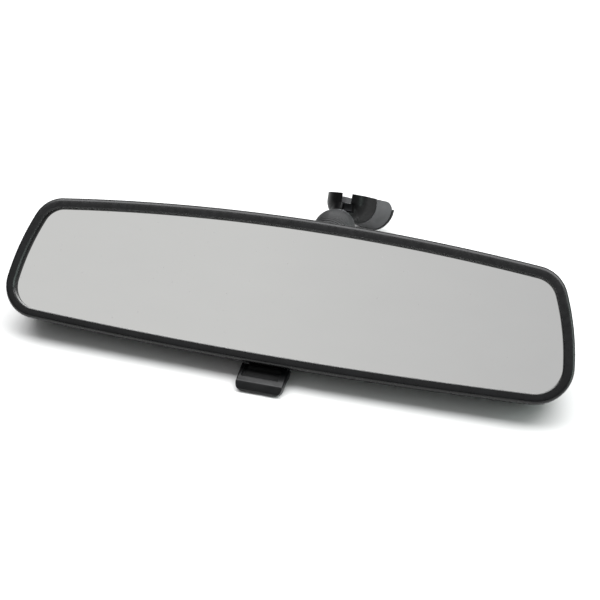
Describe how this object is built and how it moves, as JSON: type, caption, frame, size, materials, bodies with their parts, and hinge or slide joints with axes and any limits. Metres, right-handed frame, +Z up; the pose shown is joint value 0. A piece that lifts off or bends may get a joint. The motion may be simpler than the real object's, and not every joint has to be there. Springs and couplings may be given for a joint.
{
  "type": "interior rearview mirror",
  "caption": "Interior mirror: black framed wedge glass on a ball-jointed arm with a slotted windshield foot and a day and night lever.",
  "frame": {"origin": "centre of the foot's seat, at the rim of the slotted cup that takes the windshield button", "axes": "+Z up out of the cup towards the windshield, glass facing -Y, +X along the glass to the right as seen by the driver"},
  "size_m": [0.2531, 0.1206, 0.0955],
  "materials": {
    "bezel_plastic": "fine satin moulded black",
    "housing_plastic": "fine grained moulded black",
    "inner_plastic": "moulded black",
    "lever_plastic": "satin moulded black, ribbed field",
    "bell_plastic": "finely ribbed dark grey",
    "cover_plastic": "satin mid grey",
    "cap_plastic": "satin black",
    "liner_plastic": "natural acetal",
    "cast_metal": "black coated casting",
    "arm_metal": "black coated tube",
    "steel": "bare steel",
    "ring_metal": "bright snap ring",
    "mirror_coat": "silvered wedge glass",
    "foam": "black foam",
    "stop_rubber": "black rubber"
  },
  "bodies": {
    "windshield_foot": {"mount_cup": "cast_metal", "upper_ball_stud": "steel", "spring_clip": "steel", "clip_rivet": "steel", "mount_cover": "cover_plastic", "mount_end_cap": "cap_plastic", "end_cap_screw": "steel"},
    "upper_liner": {"upper_ball_liner": "liner_plastic"},
    "arm": {"arm_bell": "bell_plastic", "bell_ring": "ring_metal", "arm_tube": "arm_metal", "spring_cap": "liner_plastic", "arm_spring": "steel", "lower_ball_stud": "steel"},
    "rear_liner": {"liner_rear": "liner_plastic"},
    "front_liner": {"liner_front": "liner_plastic"},
    "carrier": {"socket_body": "inner_plastic", "carrier_plate": "steel", "socket_screw_left": "steel", "socket_screw_right": "steel"},
    "head": {"front_bezel": "bezel_plastic", "mirror_glass": "mirror_coat", "glass_pad": "foam", "back_plate": "inner_plastic", "rear_housing": "housing_plastic", "flip_pin_left": "steel", "flip_pin_right": "steel", "lever_pin": "steel", "stop_bumper_left": "stop_rubber", "stop_bumper_right": "stop_rubber"},
    "lever": {"day_night_lever": "lever_plastic", "lever_spring": "steel"}
  },
  "joints": [
    {"name": "arm_swing", "type": "hinge", "parent": "windshield_foot", "child": "upper_liner", "pos_m": [-0.00195, -0.0188, -0.0196], "axis": [0, 0, 1], "range_deg": [-15, 15]},
    {"name": "arm_nod", "type": "hinge", "parent": "upper_liner", "child": "arm", "pos_m": [-0.00195, -0.0188, -0.0196], "axis": [1, 0, 0], "range_deg": [-12, 12]},
    {"name": "head_turn", "type": "hinge", "parent": "arm", "child": "rear_liner", "pos_m": [-0.00865, -0.05922, -0.05106], "axis": [0, 0.1564, 0.9877], "range_deg": [-15, 15]},
    {"name": "head_roll", "type": "hinge", "parent": "rear_liner", "child": "front_liner", "pos_m": [-0.00865, -0.05922, -0.05106], "axis": [0, 0.9877, -0.1564], "range_deg": [-8, 8]},
    {"name": "head_tilt", "type": "hinge", "parent": "front_liner", "child": "carrier", "pos_m": [-0.00865, -0.05922, -0.05106], "axis": [1, 0, 0], "range_deg": [-12, 12]},
    {"name": "head_flip", "type": "hinge", "parent": "carrier", "child": "head", "pos_m": [-0.00865, -0.07082, -0.03607], "axis": [1, 0, 0], "range_deg": [0, 4.2]},
    {"name": "lever_pull", "type": "hinge", "parent": "head", "child": "lever", "pos_m": [-0.00865, -0.07831, -0.077], "axis": [1, 0, 0], "range_deg": [0, 25.01]}
  ],
  "couplings": [
    {"joint": "lever_pull", "follows": "head_flip", "ratio": 5.9524}
  ]
}
